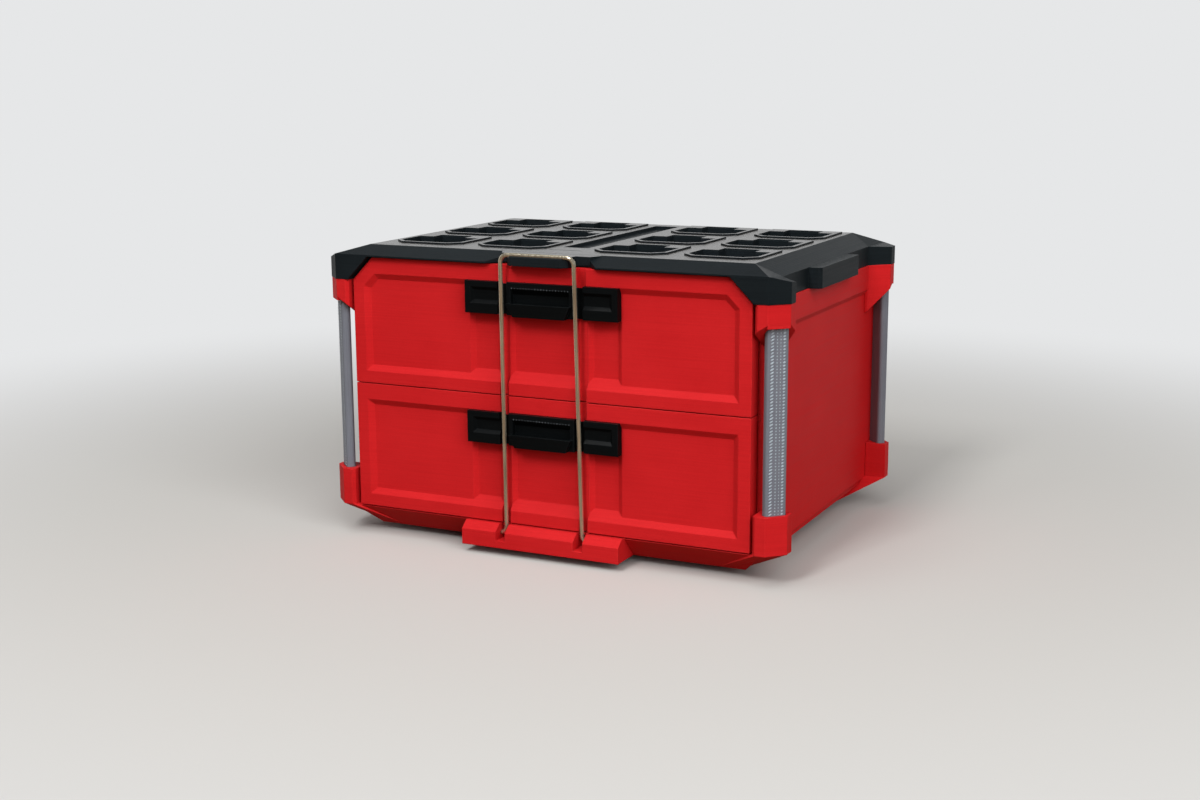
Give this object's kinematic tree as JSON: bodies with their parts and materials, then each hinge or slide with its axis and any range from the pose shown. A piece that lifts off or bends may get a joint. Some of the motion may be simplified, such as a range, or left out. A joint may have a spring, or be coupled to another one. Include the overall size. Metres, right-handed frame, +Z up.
{
  "type": "stackable drawer tool box",
  "caption": "Small printed tool box with stacked drawers behind a hinged wire lock bar, corner posts, and a lid with stacking pockets that take the pads of a like box",
  "frame": {"origin": "centre of the bounding box in plan, on the surface that the stacking pads stand on", "axes": "+X to the right as seen from the front, -Y towards the front (the drawers open that way), +Z up"},
  "size_m": [0.1412, 0.1062, 0.0861],
  "materials": {
    "red_plastic": "printed, satin",
    "black_plastic": "printed, satin",
    "grey_plastic": "printed, satin",
    "steel_wire": "drawn, bright"
  },
  "bodies": {
    "cabinet": {"base_pan": "red_plastic", "hinge_block": "red_plastic", "side_wall_left": "red_plastic", "side_wall_right": "red_plastic", "back_wall": "red_plastic", "shelf": "red_plastic", "top_frame": "red_plastic", "lid": "black_plastic", "post_front_left": "grey_plastic", "post_front_right": "grey_plastic", "post_rear_left": "grey_plastic", "post_rear_right": "grey_plastic"},
    "upper_drawer": {"upper_drawer": "red_plastic", "upper_pull": "black_plastic"},
    "lower_drawer": {"lower_drawer": "red_plastic", "lower_pull": "black_plastic"},
    "lock_bar": {"lock_bar": "steel_wire"}
  },
  "joints": [
    {"name": "lock_bar_swing", "type": "hinge", "parent": "cabinet", "child": "lock_bar", "pos_m": [0, -0.0495, 0.0061], "axis": [1, 0, 0], "range_deg": [0, 90], "deforming": ["lock_bar"]},
    {"name": "upper_drawer_slide", "type": "slide", "parent": "cabinet", "child": "upper_drawer", "axis": [0, -1, 0], "range_m": [0, 0.066]},
    {"name": "lower_drawer_slide", "type": "slide", "parent": "cabinet", "child": "lower_drawer", "axis": [0, -1, 0], "range_m": [0, 0.066]}
  ]
}
